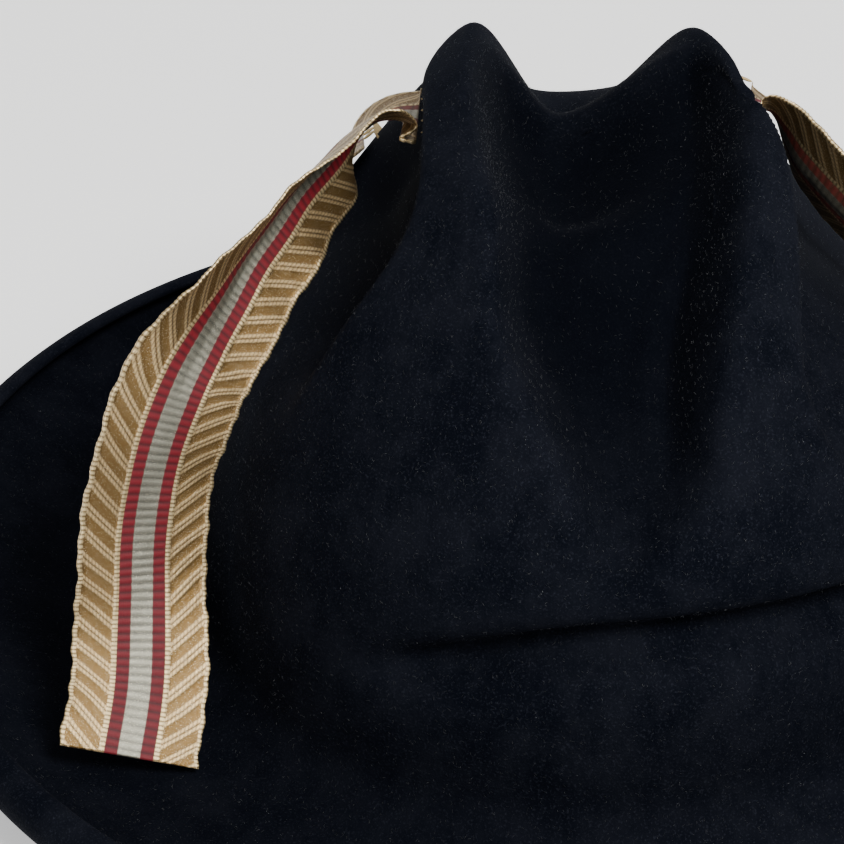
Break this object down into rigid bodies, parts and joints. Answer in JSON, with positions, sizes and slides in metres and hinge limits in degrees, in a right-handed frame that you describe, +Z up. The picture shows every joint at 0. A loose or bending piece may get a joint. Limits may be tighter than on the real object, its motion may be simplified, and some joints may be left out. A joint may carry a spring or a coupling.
{
  "type": "dented felt hat with woven ribbons",
  "caption": "Soft felt hat with a tall dented crown, a wide brim with a rolled edge, a leather sweatband, and woven metallic ribbons hanging from the side dents.",
  "frame": {"origin": "on the surface that the brim rests on, under the middle of the hat", "axes": "+X to the right as seen from the front, +Y from front to back, +Z up"},
  "size_m": [0.3318, 0.3579, 0.1445],
  "materials": {
    "felt": "brushed fur felt with a short soft nap",
    "leather": "smooth satin hat leather",
    "reed": "matt",
    "band_thread": "twisted cotton thread",
    "tape": "fine ribbed grosgrain",
    "ribbon": "woven metallic thread, striped",
    "tack_thread": "waxed thread"
  },
  "bodies": {
    "hat": {"felt_body": "felt", "sweatband": "leather", "sweatband_reed": "reed", "sweatband_stitches": "band_thread", "sweatband_seam_tape": "tape", "sweatband_bow": "tape", "left_ribbon_tacks": "tack_thread", "left_rear_ribbon_tacks": "tack_thread", "right_ribbon_tacks": "tack_thread"},
    "left_tail": {"left_ribbon": "ribbon"},
    "left_rear_tail": {"left_rear_ribbon": "ribbon"},
    "right_tail": {"right_ribbon": "ribbon"}
  },
  "joints": [
    {"name": "left_ribbon_lift", "type": "hinge", "parent": "hat", "child": "left_tail", "pos_m": [-0.0391, 0.017, 0.1254], "axis": [0.0018, 0.9988, -0.0499], "range_deg": [0, 25]},
    {"name": "left_rear_ribbon_lift", "type": "hinge", "parent": "hat", "child": "left_rear_tail", "pos_m": [-0.0525, 0.06, 0.0985], "axis": [-0.0326, 0.9497, -0.3113], "range_deg": [0, 40]},
    {"name": "right_ribbon_lift", "type": "hinge", "parent": "hat", "child": "right_tail", "pos_m": [0.0374, 0.025, 0.1246], "axis": [-0.1459, -0.9784, 0.1465], "range_deg": [0, 40]}
  ]
}
